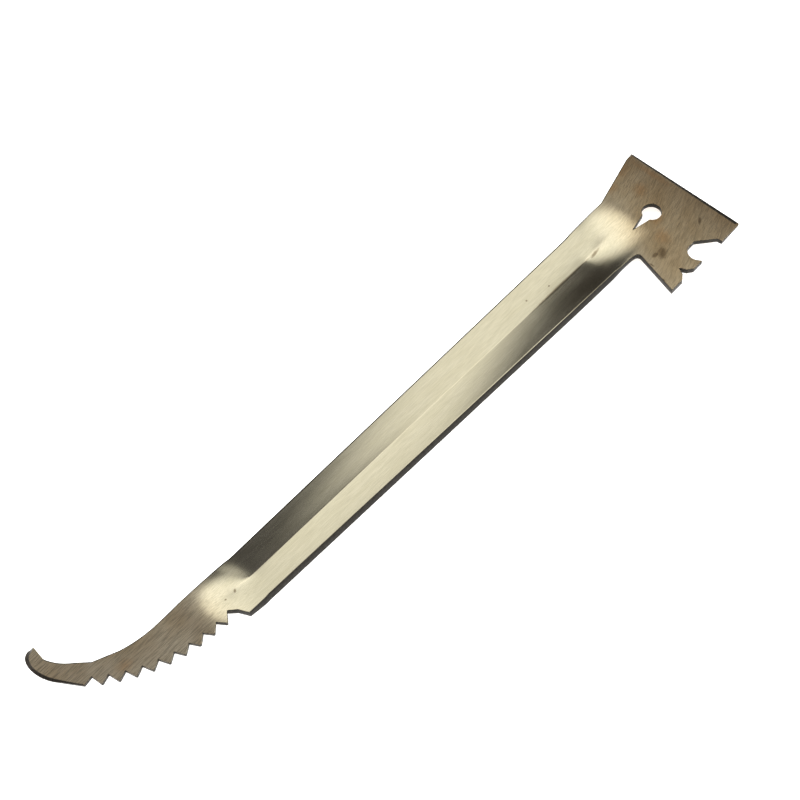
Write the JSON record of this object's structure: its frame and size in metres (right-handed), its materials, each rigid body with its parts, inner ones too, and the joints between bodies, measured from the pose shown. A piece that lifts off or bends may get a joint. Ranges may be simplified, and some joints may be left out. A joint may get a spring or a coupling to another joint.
{
  "type": "hive tool",
  "caption": "Flat steel hive tool with a wide scraping edge, side notches, keyhole nail puller, V-pressed shank and a curved hook with saw teeth.",
  "frame": {"origin": "centre of the bounding box in plan, at the height of the underside of the shank's crease, which the tool lies on", "axes": "+X along the shank to the scraping edge, +Y to the side that the hook points to, +Z out of the side that the V opens to"},
  "size_m": [0.3, 0.0686, 0.007],
  "materials": {
    "stainless_steel": "satin, brushed, with faint warm heat tint at the ends"
  },
  "bodies": {
    "root": {"hive_tool": "stainless_steel"}
  },
  "joints": []
}
